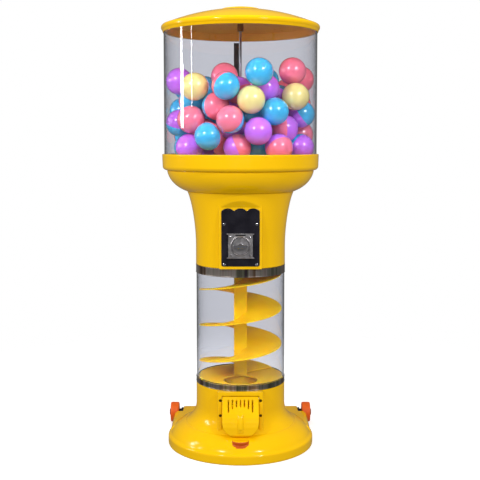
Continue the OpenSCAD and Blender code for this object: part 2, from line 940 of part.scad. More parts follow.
// Height of the lid's outer face at radius r.
function dome(r) = total_h - 7 - 0.000904 * r * r;
module lid() {
    dome_out = [for (i = [0:12]) let (r = 60 + (lid_r - 12 - 60) * i / 12) [r, dome(r)]];
    lid_in = slot_in - 5.7;
    dome_in = [for (i = [0:10]) let (r = lid_in - (lid_in - 40) * i / 10) [r, dome(r) - lid_t]];
    seat = dome(60);
    color("gold") rotate_extrude() polygon(concat(
        [[spigot_r + run, seat]], dome_out,
        arc(lid_r - 9, dome(lid_r - 9) - 9, 9, 70, -20, 6),
        [[lid_r - 3.5, lid_rim_z + 1.5], [lid_r - 5, lid_rim_z], [slot_out, lid_rim_z],
         [slot_out, glass_top + 0.2], [slot_in, glass_top + 0.2], [slot_in, lid_rim_z],
         [lid_in, lid_rim_z]],
        dome_in,
        [[12, seat - lid_t], [spigot_r + run, seat - lid_t]]));
}
// Barrel under the lid that the centre rod's end stands in.
module lid_lock_barrel() {
    low = total_h - 70;
    top = dome(60) - lid_t;
    color("olive") difference() {
        translate([0, 0, low]) cylinder(r = 9, h = top - low);
        translate([0, 0, low - 1]) cylinder(r = rod_r + run, h = total_h - 36 - low);
    }
}
module lid_cap() {
    low = dome(60) + gap;
    color("gold") {
        rotate_extrude() polygon(concat(
            [[0, low], [56, low]],
            arc(54, total_h - 4.5, 3, -20, 70, 5),
            bezier([52, total_h - 1.6], [36, total_h - 0.5], [16, total_h], [0, total_h], 6)));
        translate([0, 0, low - 3.2]) cylinder(r = spigot_r, h = 3.2);
    }
}

// ---- Tilting wheels ----

module tilting_wheel(side) {
    flange_r = 4;
    color("orangered") translate([side * wheel_x, axle_y, axle_z]) rotate([0, side * 90, 0])
        rotate_extrude() polygon(concat(
            [[axle_r + run, 2], [16, 2], [18, 0], [wheel_r - flange_r, 0]],
            arc(wheel_r - flange_r, flange_r, flange_r, -90, 0, 5),
            arc(wheel_r - flange_r, wheel_w - flange_r, flange_r, 0, 90, 5),
            [[18, wheel_w], [16, wheel_w - 2], [axle_r + run, wheel_w - 2]]));
}
module wheel_left() {
    tilting_wheel(-1);
}
module wheel_right() {
    tilting_wheel(1);
}
module wheel_bolts() {
    color("black") for (side = [-1, 1]) {
        translate([0, axle_y, axle_z]) rotate([0, side * 90, 0]) {
            translate([0, 0, inner_block_x - 12]) cylinder(r = axle_r, h = wheel_w + 26.5);
            translate([0, 0, wheel_x + wheel_w - 1.5]) cylinder(r = 10, h = 5, $fn = 6);
            translate([0, 0, inner_block_x - 10.2]) cylinder(r = 8.5, h = 6, $fn = 6);
        }
    }
}
module wheel_brackets() {
    color("black") for (side = [-1, 1]) {
        translate([side * inner_block_x, axle_y, axle_z]) rotate([0, side * 90, 0]) difference() {
            union() {
                cylinder(r = 14, h = 6);
                cylinder(r = 10, h = wheel_x - inner_block_x - 0.5);
            }
            translate([0, 0, -1]) cylinder(r = axle_r, h = 20);
        }
    }
}

// ---- Capsules ----

// Capsules are dropped one at a time. Each takes the lowest of several places, half of them
// against the globe, and rests on the floor of the hopper or on the capsules under it.
touch = 2 * capsule_r + 0.4;
pile_floor = guard_z + 3 + capsule_r;
wall_r = globe_r - clear_t - capsule_r - 2;
rod_clear = rod_r + capsule_r + 0.6;
tries = 120;
chance = rands(0, 1, 2 * tries * capsule_count, 41);

function rest_z(x, y, placed) =
    max(concat([pile_floor],
        [for (p = placed)
            let (d = (x - p[0]) * (x - p[0]) + (y - p[1]) * (y - p[1]))
            if (d < touch * touch) p[2] + sqrt(touch * touch - d)]));
function place_at(k) =
    let (u = chance[2 * k], a = 360 * chance[2 * k + 1],
         r = k % 2 == 0 ? wall_r
             : sqrt(u * wall_r * wall_r + (1 - u) * rod_clear * rod_clear))
    [r * cos(a), r * sin(a)];
function drop_one(placed) =
    let (first = len(placed) * tries,
         spots = [for (k = [first:first + tries - 1])
             let (p = place_at(k)) [p[0], p[1], rest_z(p[0], p[1], placed)]],
         low = min([for (s = spots) s[2]]))
    [for (s = spots) if (s[2] == low) s][0];
function pile(n, placed = []) =
    len(placed) == n ? placed : pile(n, concat(placed, [drop_one(placed)]));

module capsule() {
    difference() {
        sphere(capsule_r);
        sphere(capsule_r - 1.5);
    }
}
module capsules_two_tone() {
    places = pile(capsule_count);
    color("hotpink") for (i = [0:capsule_count - 1]) {
        if (i % 2 == 0) translate(places[i]) capsule();
    }
}
module capsules_plain() {
    places = pile(capsule_count);
    color("mediumorchid") for (i = [0:capsule_count - 1]) {
        if (i % 2 == 1) translate(places[i]) capsule();
    }
}

base_shell();
base_plate();
door_frame();
door_frame_screws();
door_flap();
door_hinge_pin();
dispense_tray();
floor_plate();
lower_band();
tower_tube();
upper_band();
spiral_column();
spiral_turn_1();
spiral_turn_2();
spiral_turn_3();
neck_shell();
neck_floor();
mech_plate();
mech_plate_screws();
mech_face();
mech_face_rivets();
mech_housing();
coin_dial();
crank_handle();
mech_shaft();
mech_pinion();
face_gear();
drive_shaft();
drive_bracket();
wheel_pinion();
wheel_gear();
capsule_wheel();
hub_bush();
wheel_deck();
drop_guard();
drop_chute();
coin_chute();
cash_box();
cash_door();
cash_door_pin();
cash_lock();
hopper_funnel();
hopper_bowl();
bowl_screws();
rod_crossbar();
centre_rod();
rod_nuts();
collar_ring();
globe_tube();
globe_joint_strip();
lid();
lid_lock_barrel();
lid_cap();
wheel_left();
wheel_right();
wheel_bolts();
wheel_brackets();
capsules_two_tone();
capsules_plain();
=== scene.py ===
"""Gumball machine: a clear globe of capsules, a coin-operated neck, a spiral tower and a base.

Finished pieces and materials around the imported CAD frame, in metres. +Z is up and the front
faces -Y.
"""
import json
import math
import random

import bmesh
import bpy
from mathutils import Matrix, Vector


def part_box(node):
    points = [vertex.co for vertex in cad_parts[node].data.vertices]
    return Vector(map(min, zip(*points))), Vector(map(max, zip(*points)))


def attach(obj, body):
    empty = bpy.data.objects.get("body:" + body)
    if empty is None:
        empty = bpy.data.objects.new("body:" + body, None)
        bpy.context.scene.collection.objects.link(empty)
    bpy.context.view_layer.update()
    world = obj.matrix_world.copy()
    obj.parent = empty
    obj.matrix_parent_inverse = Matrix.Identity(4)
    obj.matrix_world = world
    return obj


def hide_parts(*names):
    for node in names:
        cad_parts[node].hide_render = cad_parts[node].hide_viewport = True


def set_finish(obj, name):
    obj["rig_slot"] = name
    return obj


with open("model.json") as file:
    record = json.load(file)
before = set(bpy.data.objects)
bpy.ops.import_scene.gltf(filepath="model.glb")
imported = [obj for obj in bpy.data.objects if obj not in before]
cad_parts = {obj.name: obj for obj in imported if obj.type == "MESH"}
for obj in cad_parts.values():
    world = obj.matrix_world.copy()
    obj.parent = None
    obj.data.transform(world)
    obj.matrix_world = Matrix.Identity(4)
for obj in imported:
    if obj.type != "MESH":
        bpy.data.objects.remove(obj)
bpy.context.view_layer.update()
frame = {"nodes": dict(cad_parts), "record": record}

MM = 0.001
STEPS = 192  # sides of a turned piece
FINE_STEPS = 288  # sides of a tube or a band


def span(node):
    """Heights of a CAD node's lowest and highest points, in millimetres."""
    low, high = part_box(node)
    return round(low[2] / MM, 1), round(high[2] / MM, 1)


def reach(node):
    """How far a turned CAD node reaches from the machine's axis, in millimetres."""
    return round(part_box(node)[1][0] / MM, 1)


# ---- Camera ----

FOCAL_MM = 67.8
SENSOR_MM = 36.0
CAM_SHIFT = -0.04
CAM_X = -0.0014
CAM_DISTANCE = 2.69
CAM_HEIGHT = 0.908
CAM_PITCH = math.radians(5.0)


def make_camera():
    """Looks slightly down at the front from about the height of the neck."""
    data = bpy.data.cameras.new("camera")
    data.lens = FOCAL_MM
    data.sensor_width = SENSOR_MM
    data.shift_y = CAM_SHIFT
    camera = bpy.data.objects.new("camera", data)
    bpy.context.collection.objects.link(camera)
    camera.location = (CAM_X, -CAM_DISTANCE, CAM_HEIGHT)
    camera.rotation_euler = (math.pi / 2 - CAM_PITCH, 0, 0)
    bpy.context.scene.camera = camera


# ---- Lights and stage ----

AMBIENT = 0.40  # strength of the surroundings as a light
REFLECTED = 0.14  # their strength in reflections
BEHIND_CLEAR = 0.80  # their strength behind clear pieces
FLOOR_R = 1.6
FLOOR_DROP = 0.0004
FLOOR_GREY = 0.93
FLOOR_GLOW = 0.4
FADE_FROM = 0.35  # distance from the middle where the floor starts to fade
AIM_HEIGHT = 0.75
# Soft boxes: azimuth in degrees, then height, distance, width and tallness in metres, the power
# in watts, whether gloss shows them, and whether they show behind clear pieces.
SOFT_BOXES = {
    "key_left": (-33, 2.2, 2.9, 0.36, 0.36, 32, True, True),
    "key_right": (33, 2.2, 2.9, 0.36, 0.36, 32, True, True),
    "strip_left": (-91, 1.12, 1.9, 0.24, 0.30, 3.9, True, False),
    "strip_left_high": (-92, 1.46, 1.9, 0.15, 0.44, 3.6, True, False),
    "strip_thin": (-72.5, 1.32, 2.1, 0.06, 0.5, 1.8, True, False),
    "side_right": (108, 1.1, 2.6, 1.2, 1.8, 10, False, False),
    "fill_front": (0, 0.7, 3.2, 1.6, 1.4, 15, False, False),
}
TOP_BOX = (0, 3.0, 0.4, 1.6, 1.6, 34, False, False)


def soft_box(name, azimuth, height, distance, width, tall, power, reflected, behind):
    """A lamp that looks at the machine. Azimuth 0 is the front, positive to the right."""
    data = bpy.data.lights.new(name, "AREA")
    data.shape = "RECTANGLE"
    data.size = width
    data.size_y = tall
    data.energy = power
    light = bpy.data.objects.new(name, data)
    bpy.context.collection.objects.link(light)
    a = math.radians(azimuth)
    light.location = (distance * math.sin(a), -distance * math.cos(a), height)
    aim = Vector((0, 0, AIM_HEIGHT)) - light.location
    light.rotation_euler = aim.to_track_quat("-Z", "Y").to_euler()
    light.visible_camera = False
    light.visible_glossy = reflected
    light.visible_transmission = behind
    return light


def make_lights():
    for name, values in SOFT_BOXES.items():
        soft_box(name, *values)
    top = soft_box("top", *TOP_BOX)
    top.rotation_euler = (0, 0, 0)


def make_world():
    """White to the camera, softer behind clear pieces, as a light and in reflections."""
    world = bpy.data.worlds.new("studio")
    bpy.context.scene.world = world
    world.use_nodes = True
    nodes, links = world.node_tree.nodes, world.node_tree.links
    path = nodes.new("ShaderNodeLightPath")
    rays = (("Is Transmission Ray", BEHIND_CLEAR), ("Diffuse Depth", AMBIENT),
            ("Glossy Depth", REFLECTED), ("Is Camera Ray", 1.0))
    under = None
    for ray, strength in rays:
        level = nodes.new("ShaderNodeMapRange")
        level.inputs["To Min"].default_value = AMBIENT
        level.inputs["To Max"].default_value = strength
        links.new(path.outputs[ray], level.inputs["Value"])
        if under is not None:
            links.new(under, level.inputs["To Min"])
        under = level.outputs["Result"]
    links.new(under, nodes["Background"].inputs["Strength"])
    nodes["Background"].inputs["Color"].default_value = (1.0, 1.0, 1.0, 1)


def make_floor():
    """Pale paper that fades into the white background away from the machine."""
    mesh = bpy.data.meshes.new("floor")
    bm = bmesh.new()
    bmesh.ops.create_circle(bm, cap_ends=True, radius=FLOOR_R, segments=96)
    bm.to_mesh(mesh)
    bm.free()
    floor = link("floor", mesh)
    floor.location.z = -FLOOR_DROP
    mat, shader, tree = new_material("floor_paper")
    shader.inputs["Base Color"].default_value = (FLOOR_GREY, FLOOR_GREY, FLOOR_GREY, 1)
    shader.inputs["Roughness"].default_value = 0.8
    shader.inputs["Specular IOR Level"].default_value = 0.1
    shader.inputs["Emission Color"].default_value = (1, 1, 1, 1)
    shader.inputs["Emission Strength"].default_value = FLOOR_GLOW
    nodes, links = tree.nodes, tree.links
    coords = nodes.new("ShaderNodeTexCoord")
    length = nodes.new("ShaderNodeVectorMath")
    length.operation = "LENGTH"
    links.new(coords.outputs["Object"], length.inputs[0])
    fade = spread(tree, length.outputs["Value"], 0, 1, FADE_FROM, FLOOR_R)
    mix = nodes.new("ShaderNodeMixShader")
    clear_part = nodes.new("ShaderNodeBsdfTransparent")
    links.new(fade, mix.inputs["Fac"])
    links.new(shader.outputs["BSDF"], mix.inputs[1])
    links.new(clear_part.outputs["BSDF"], mix.inputs[2])
    links.new(mix.outputs["Shader"], nodes["Material Output"].inputs["Surface"])
    mesh.materials.append(mat)
    floor.visible_glossy = False
    floor.visible_diffuse = False


# ---- Objects ----

KEEP_FACES = 0.5  # share of a softened piece's faces that stay
WELD = 0.00001


def link(name, mesh):
    """A new object in the scene."""
    obj = bpy.data.objects.new(name, mesh)
    bpy.context.collection.objects.link(obj)
    return obj


def smooth(mesh, angle=38):
    """Smooth shading, with edges sharper than angle degrees left crisp."""
    mesh.shade_smooth()
    mesh.set_sharp_from_angle(angle=math.radians(angle))


def piece(obj, body, slot, replaced=()):
    """obj rides on a body, takes a slot's finish and stands for the CAD nodes in replaced."""
    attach(obj, body)
    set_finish(obj, slot)
    if replaced:
        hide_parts(*replaced)
    return obj


def two_finishes(obj, second, faces):
    """obj keeps its slot's finish, and the given faces take the second one."""
    obj.data.materials.append(materials[obj["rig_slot"]])
    obj.data.materials.append(materials[second])
    for face in faces:
        face.material_index = 1
    return obj


def mesh_object(name, verts, faces, sharp=38):
    mesh = bpy.data.meshes.new(name)
    mesh.from_pydata(verts, [], faces)
    mesh.validate()
    bm = bmesh.new()
    bm.from_mesh(mesh)
    bmesh.ops.recalc_face_normals(bm, faces=bm.faces)
    bm.to_mesh(mesh)
    bm.free()
    smooth(mesh, sharp)
    return link(name, mesh)


def copy_of(node, name):
    """A free copy of a CAD node's mesh, welded and without its materials."""
    mesh = frame["nodes"][node].data.copy()
    mesh.name = name
    mesh.materials.clear()
    bm = bmesh.new()
    bm.from_mesh(mesh)
    bmesh.ops.remove_doubles(bm, verts=bm.verts, dist=WELD)
    bm.to_mesh(mesh)
    bm.free()
    return link(name, mesh)


def applied(obj):
    """obj with its modifiers applied."""
    depsgraph = bpy.context.evaluated_depsgraph_get()
    depsgraph.update()
    mesh = bpy.data.meshes.new_from_object(obj.evaluated_get(depsgraph))
    old = obj.data
    obj.modifiers.clear()
    obj.data = mesh
    bpy.data.meshes.remove(old)
    return obj


def softened(node, voxel, passes, shape=None):
    """A CAD node's shape with its edges rounded off as a mould or a casting leaves them.

    voxel is the fineness in millimetres, and shape may move the finished points.
    """
    obj = copy_of(node, node + "_finished")
    remesh = obj.modifiers.new("remesh", "REMESH")
    remesh.mode = "VOXEL"
    remesh.voxel_size = voxel * MM
    relax = obj.modifiers.new("relax", "SMOOTH")
    relax.factor = 0.5
    relax.iterations = passes
    thin = obj.modifiers.new("thin", "DECIMATE")
    thin.ratio = KEEP_FACES
    applied(obj)
    if shape:
        for vert in obj.data.vertices:
            vert.co = shape(vert.co)
    smooth(obj.data, 50)
    return piece(obj, body_of(node), slot_of(node), [node])


def body_of(node):
    """The moving body that carries a CAD node, or the machine itself."""
    for body, nodes in frame["record"]["behaviour"]["bodies"].items():
        if node in nodes:
            return body
    return "machine"


def slot_of(node):
    """A CAD node's material slot."""
    slots = {sub["node"]: sub["material_slot"] for sub in frame["record"]["subparts"]}
    return slots[node]


# ---- Outlines, in millimetres ----


def bezier(a, b, c, d, n=12):
    """n + 1 points on a cubic curve from a to d."""
    points = []
    for i in range(n + 1):
        t = i / n
        s = 1 - t
        points.append(tuple(s ** 3 * p + 3 * s * s * t * q + 3 * s * t * t * r + t ** 3 * u
                            for p, q, r, u in zip(a, b, c, d)))
    return points


def arc(x, z, r, start, end, n=6):
    """n + 1 points on an arc round (x, z), its angles in degrees."""
    angles = [math.radians(start + (end - start) * i / n) for i in range(n + 1)]
    return [(x + r * math.cos(a), z + r * math.sin(a)) for a in angles]


def filleted(points, radius, n=4, least=25):
    """A closed outline with each corner sharper than least degrees rounded."""
    out = []
    for i, p in enumerate(points):
        before = Vector(points[i - 1]) - Vector(p)
        after = Vector(points[(i + 1) % len(points)]) - Vector(p)
        turn = 180 - math.degrees(before.angle(after))
        if turn < least:
            out.append(p)
            continue
        cut = min(radius, 0.4 * before.length, 0.4 * after.length)
        a = Vector(p) + before.normalized() * cut
        b = Vector(p) + after.normalized() * cut
        for k in range(n + 1):
            t = k / n
            out.append(tuple((1 - t) ** 2 * a + 2 * t * (1 - t) * Vector(p) + t * t * b))
    return out


def supported(outline, reach=1.5, least=20):
    """A closed outline with a point near both ends of each long side, to keep its face flat."""
    out = []
    for i, p in enumerate(outline):
        side = Vector(outline[(i + 1) % len(outline)]) - Vector(p)
        out.append(p)
        if side.length > least:
            step = side.normalized() * reach
            out += [tuple(Vector(p) + step), tuple(Vector(p) + side - step)]
    return out


def turned(name, outline, steps=STEPS, radius=0.8, sharp=38):
    """Closed outline of (radius, height) points turned round the vertical axis."""
    outline = supported(filleted(outline, radius))
    n = len(outline)
    verts = []
    for i in range(steps):
        a = 2 * math.pi * i / steps
        verts += [(r * MM * math.cos(a), r * MM * math.sin(a), z * MM) for r, z in outline]
    faces = []
    for i in range(steps):
        j = (i + 1) % steps
        for k in range(n):
            m = (k + 1) % n
            faces.append((i * n + k, j * n + k, j * n + m, i * n + m))
    obj = mesh_object(name, verts, faces, sharp)
    bm = bmesh.new()
    bm.from_mesh(obj.data)
    bmesh.ops.remove_doubles(bm, verts=bm.verts, dist=WELD / 2)
    bmesh.ops.dissolve_degenerate(bm, edges=bm.edges, dist=WELD / 2)
    bm.to_mesh(obj.data)
    bm.free()
    smooth(obj.data, sharp)
    return obj


def inset(points, t):
    """An open outline moved inwards by t, its ends kept at their own heights."""
    out = []
    for i, (x, z) in enumerate(points):
        ahead = points[min(i + 1, len(points) - 1)]
        back = points[max(i - 1, 0)]
        d = Vector(ahead) - Vector(back)
        out.append((x - t * d.y / d.length,
                    z if i in (0, len(points) - 1) else z + t * d.x / d.length))
    return out


# ---- Globe, lid and hopper ----

TOTAL_H = span("lid_cap")[1]
RIM_Z = span("lid")[0]
GLASS_Z, GLASS_TOP = span("globe_tube")
COLLAR_LOW, COLLAR_TOP = span("collar_ring")
NECK_TOP = span("neck_shell")[1]
GLOBE_R = reach("globe_tube")
LID_R = reach("lid")
BOWL_TOP_R = reach("hopper_bowl")
NECK_TOP_R = reach("neck_shell")
CLEAR_T = 3
PLAY = 0.3
LID_T = 3.5
LID_EDGE_R = 9  # radius of the lid's rolled edge
CROWN_DROP = 7  # from the top of the cap to the dome's crown
DOME_CURVE = 0.000904
ROD_HOLE_R = 8.05
CAP_SEAT_R = 60
CAP_R = 55
CAP_EDGE_R = 2.2
COLLAR_T = 4
COLLAR_IN = 217.5
FLANGE_IN = 205
NECK_FLANGE_IN = 144
BOWL_T = 4
SLOT_OUT = GLOBE_R + PLAY
SLOT_IN = GLOBE_R - CLEAR_T - PLAY


def dome(r):
    """Height of the lid's outer face at radius r."""
    return TOTAL_H - CROWN_DROP - DOME_CURVE * r * r


def make_lid():
    """Domed lid with a rolled edge and a slot for the globe. Its underside takes a deeper orange
    finish that paints the shade under the lid.
    """
    outer = [(r, dome(r)) for r in range(CAP_SEAT_R, 221, 8)]
    edge_r = LID_R - LID_EDGE_R
    edge = arc(edge_r, dome(edge_r) - LID_EDGE_R, LID_EDGE_R, 70, -50, 14)
    ring_in = SLOT_IN - 5.7
    seam_r = 40  # where the dome's inner face meets the flat seat of the cap
    inner = [(ring_in - (ring_in - seam_r) * i / 20,
              dome(ring_in - (ring_in - seam_r) * i / 20) - LID_T) for i in range(21)]
    seat = dome(CAP_SEAT_R)
    slot_top = GLASS_TOP + 0.2
    outline = ([(ROD_HOLE_R, seat)] + outer + edge
               + [(LID_R - 5, RIM_Z + 1), (LID_R - 5.6, RIM_Z), (SLOT_OUT, RIM_Z),
                  (SLOT_OUT, slot_top), (SLOT_IN, slot_top), (SLOT_IN, RIM_Z),
                  (ring_in, RIM_Z)] + inner + [(12, seat - LID_T), (ROD_HOLE_R, seat - LID_T)])
    obj = turned("lid_shell", outline)
    # Faces under the lid, which take the deeper orange painted shade.
    under = [face for face in obj.data.polygons
             if (face.normal.z < -0.3 or face.normal.dot(face.center) < 0)
             and face.center.xy.length < (SLOT_IN + 0.1) * MM]
    return two_finishes(piece(obj, "lid", "yellow_plastic", ["lid"]), "lid_underside_painted_shade", under)


def make_lid_cap():
    """Low disc on the lid, with a spigot that turns in the lid's hole."""
    low = dome(CAP_SEAT_R) + PLAY
    spigot_r, spigot_h = 8, 3.2
    edge_z = low + CAP_EDGE_R
    outline = ([(0, low - spigot_h), (spigot_r, low - spigot_h), (spigot_r, low), (CAP_R, low)]
               + arc(CAP_R - 1, edge_z, CAP_EDGE_R, -50, 75, 8)
               + bezier((50, low + 4.9), (36, TOTAL_H - 2), (16, TOTAL_H), (0, TOTAL_H)))
    return piece(turned("lid_cap_disc", outline, radius=0.6), "lid_cap", "yellow_plastic",
                 ["lid_cap"])


def make_collar():
    """Ring that holds the globe in a slot, rounded at both edges."""
    r_out = GLOBE_R + 5.5
    low_r, top_r = 12, 3  # radii of the lower and upper edges
    outline = ([(FLANGE_IN, COLLAR_LOW), (218, COLLAR_LOW)]
               + arc(r_out - low_r, COLLAR_LOW + low_r, low_r, -88, -10, 10)
               + arc(r_out - 2, COLLAR_TOP - top_r, top_r, 0, 90, 6)
               + [(SLOT_OUT, COLLAR_TOP), (SLOT_OUT, GLASS_Z), (SLOT_IN, GLASS_Z),
                  (SLOT_IN, COLLAR_TOP), (COLLAR_IN, COLLAR_TOP),
                  (COLLAR_IN, COLLAR_LOW + COLLAR_T), (FLANGE_IN, COLLAR_LOW + COLLAR_T)])
    return piece(turned("collar", outline, radius=1.2), "machine", "yellow_plastic",
                 ["collar_ring"])


def make_bowl():
    """Bowl between the neck and the collar, with a flat flange on the neck."""
    top = COLLAR_LOW - 0.2
    outer = bezier((NECK_TOP_R, NECK_TOP), (184, NECK_TOP + 9), (210, NECK_TOP + 28),
                   (BOWL_TOP_R, COLLAR_LOW - BOWL_T), 24) + [(BOWL_TOP_R, top)]
    inner = [point for point in inset(outer, BOWL_T) if point[1] > NECK_TOP + 5.5]
    flange = [(NECK_FLANGE_IN, NECK_TOP + BOWL_T), (NECK_FLANGE_IN, NECK_TOP)]
    return piece(turned("bowl", outer + inner[::-1] + flange, radius=1.6), "machine",
                 "yellow_plastic", ["hopper_bowl"])


def tube(name, node, radius, low, high, edge_r):
    """Clear tube with its outer radius given, standing for a CAD node."""
    outline = [(radius - CLEAR_T, low), (radius, low), (radius, high), (radius - CLEAR_T, high)]
    return piece(turned(name, outline, FINE_STEPS, edge_r), "machine", "clear_acrylic", [node])


def make_globe():
    """Clear wall round the capsules."""
    return tube("globe", "globe_tube", GLOBE_R, GLASS_Z, GLASS_TOP, 0.5)


# ---- Tower and ramp ----

TOWER_LOW, TOWER_TOP = span("tower_tube")
FLOOR_TOP = span("floor_plate")[1]
TUBE_OUT = reach("tower_tube")
TUBE_IN = TUBE_OUT - CLEAR_T
RAMP_R = reach("spiral_turn_1")
BAND_T = 1.3
BEAD_RISE = 0.55
RAMP_T = 3
RAMP_Z = 521.9  # height of the ramp's upper face at 0 degrees
RAMP_PITCH = 107.5
RAMP_START = 30
RAMP_END = -1042.5
RAMP_STEP = 2.5
SLEEVE_HALF = 19.5
COLUMN_HALF = 16.7


def make_tower():
    """Clear wall round the spiral."""
    return tube("tower", "tower_tube", TUBE_OUT, TOWER_LOW, TOWER_TOP, 0.4)


def make_band(name, node):
    """Metal strip round the tube with a rolled bead along both edges."""
    low, high = span(node)
    inner = TUBE_OUT + 0.05
    face = TUBE_OUT + BAND_T
    bead = face + BEAD_RISE
    outline = [(inner, low + 0.2), (face, low), (bead, low + 0.6), (bead, low + 1.6),
               (face, low + 2.3), (face, high - 2.3), (bead, high - 1.6), (bead, high - 0.6),
               (face, high), (inner, high - 0.2)]
    return piece(turned(name, outline, FINE_STEPS, 0.3), "machine", "dark_band", [node])


def make_floor_seal():
    """Dark rubber ring in the corner between the tower's floor and its tube."""
    outer, inner = TUBE_IN - 0.1, TUBE_IN - 1.9
    low = FLOOR_TOP + 0.05
    outline = [(inner, low), (outer, low), (outer, low + 2.2), (inner + 0.8, low + 1.4)]
    return piece(turned("floor_seal", outline, radius=0.3), "machine", "black_strip")


def ramp_z(angle):
    """Height of the ramp's upper face at an angle in degrees from the right."""
    return RAMP_Z + RAMP_PITCH * angle / 360


def square_ring(half, radius, height):
    """Points of a square with rounded corners, at one height."""
    points = []
    for corner in range(4):
        a = math.radians(45 + 90 * corner)
        x = (half - radius) * math.copysign(1, math.cos(a))
        y = (half - radius) * math.copysign(1, math.sin(a))
        points += [(px, py, height) for px, py in arc(x, y, radius, 90 * corner,
                                                      90 * corner + 90)]
    return points


def make_ramp_turn(turn, sleeve_low, sleeve_top):
    """One turn of the ramp with the square sleeve that slides over the column."""
    start = RAMP_START - 360 * (turn - 1)
    end = max(start - 360, RAMP_END)
    steps = round((start - end) / RAMP_STEP)
    edge = arc(RAMP_R - RAMP_T / 2, -RAMP_T / 2, RAMP_T / 2, 90, -90)
    section = [(RAMP_R - 4, 0)] + edge + [(RAMP_R - 4, -RAMP_T), (0, -RAMP_T), (0, 0)]
    n = len(section)
    verts = []
    for i in range(steps + 1):
        angle = start - RAMP_STEP * i
        a = math.radians(angle)
        root = (SLEEVE_HALF - 1.5) / max(abs(math.cos(a)), abs(math.sin(a)))
        verts += [(max(r, root) * math.cos(a), max(r, root) * math.sin(a), ramp_z(angle) + z)
                  for r, z in section]
    faces = [(i * n + k, i * n + (k + 1) % n, (i + 1) * n + (k + 1) % n, (i + 1) * n + k)
             for i in range(steps) for k in range(n)]
    faces += [tuple(range(n)), tuple(range(steps * n, (steps + 1) * n))]
    rings = [square_ring(SLEEVE_HALF, 2.5, sleeve_low), square_ring(SLEEVE_HALF, 2.5, sleeve_top),
             square_ring(COLUMN_HALF, 1.5, sleeve_top), square_ring(COLUMN_HALF, 1.5, sleeve_low)]
    m = len(rings[0])
    first = len(verts)
    verts += [point for ring in rings for point in ring]
    faces += [(first + j * m + k, first + j * m + (k + 1) % m,
               first + (j + 1) % 4 * m + (k + 1) % m, first + (j + 1) % 4 * m + k)
              for j in range(4) for k in range(m)]
    verts = [tuple(c * MM for c in v) for v in verts]
    obj = mesh_object("ramp_turn_%d" % turn, verts, faces, 40)
    return piece(obj, "machine", "orange_plastic", ["spiral_turn_%d" % turn])


def make_ramp():
    """The three turns, each sleeve standing on the one below."""
    lows = [ramp_z(RAMP_START - 360) - RAMP_T, ramp_z(RAMP_START - 720) - RAMP_T, FLOOR_TOP]
    tops = [TOWER_TOP + 3] + lows[:2]
    return [make_ramp_turn(i + 1, lows[i], tops[i]) for i in range(3)]


# ---- Moulded and cast pieces ----

CREASE_R = 165
CREASE_HALF = 2.4
CREASE_DEEP = 1.3
CREASE_LOW = 60  # the crease is above this height
RIB_HALF = 7.5
RIB_LOW = 88
RIB_TOP = 136
RIB_RISE = 1.8
RIB_BEVEL = 1.6
RIB_TAPER = 0.45  # share of the rib's width lost towards its foot
DIMPLE_R = 6.5
DIMPLE_DEEP = 3.5
# Bounds of the finger lip's front, which takes dark orange painted shade.
LIP_HALF = 23.5
LIP_Y = 171
LIP_R = 31
LIP_LOW = 44
LIP_HIGH = 61.5
LIP_FROM = 0.75  # the lip's face, as shares of its radius
LIP_TO = 1.04
LIP_FACING = 0.35


def creased(point):
    """A point of the base, sunk where it lies in the crease between the foot and the flare."""
    away = abs(math.hypot(point.x, point.y) / MM - CREASE_R) / CREASE_HALF
    if away < 1 and point.z > CREASE_LOW * MM:
        point.z -= CREASE_DEEP * (1 - away) * MM
    return point


def ribbed(point):
    """A point of the hood, raised along its tapering rib and sunk at the dimple below."""
    x, z = point.x / MM, point.z / MM
    half = RIB_HALF * (1 - RIB_TAPER * (RIB_TOP - z) / (RIB_TOP - RIB_LOW))
    edge = min(half - abs(x), RIB_TOP - z, z - RIB_LOW + 4)
    point.y -= RIB_RISE * min(1, max(0, edge / RIB_BEVEL)) * MM
    dimple = 1 - math.hypot(x, z - RIB_LOW) / DIMPLE_R
    if dimple > 0:
        point.y += DIMPLE_DEEP * dimple * MM
    return point


def in_painted_lip_shade(face):
    """Whether a face of the base is on the front of its finger lip, where the lip's shade is
    painted in dark orange.
    """
    away = face.center + Vector((0, LIP_Y * MM, 0))
    away.z = 0
    across = abs(face.center.x) / MM
    share = away.length / (LIP_R * MM)
    return (across < LIP_HALF and LIP_FROM < share < LIP_TO
            and LIP_LOW < face.center.z / MM < LIP_HIGH
            and face.normal.dot(away.normalized()) > LIP_FACING)


def make_base():
    """The base with its crease, and dark orange painted shade on the front of its finger lip."""
    base = softened("base_shell", 1.6, 4, shape=creased)
    return two_finishes(base, "lip_painted_shade", [face for face in base.data.polygons if in_painted_lip_shade(face)])


def make_moulded():
    """Moulded, cast and pressed pieces: node, fineness in millimetres, rounding passes."""
    fine = (("neck_shell", 1.6, 6), ("door_frame", 0.9, 4), ("cash_door", 1.0, 4),
            ("mech_plate", 0.7, 3), ("mech_face", 0.45, 3), ("coin_dial", 0.4, 3),
            ("crank_handle", 0.4, 6), ("floor_plate", 1.2, 3), ("wheel_left", 0.8, 3),
            ("wheel_right", 0.8, 3))
    return ([make_base(), softened("door_flap", 0.8, 3, shape=ribbed)]
            + [softened(node, voxel, passes) for node, voxel, passes in fine])


# ---- Capsules ----

CAPSULE_R = 39.5
CAPSULE_T = 1.6
CAPSULE_PLAY = 0.05  # how far the finished skin stays inside the CAD one
SEAM_HALF = 0.45
SEAM_DEEP = 0.5
SEED = 308


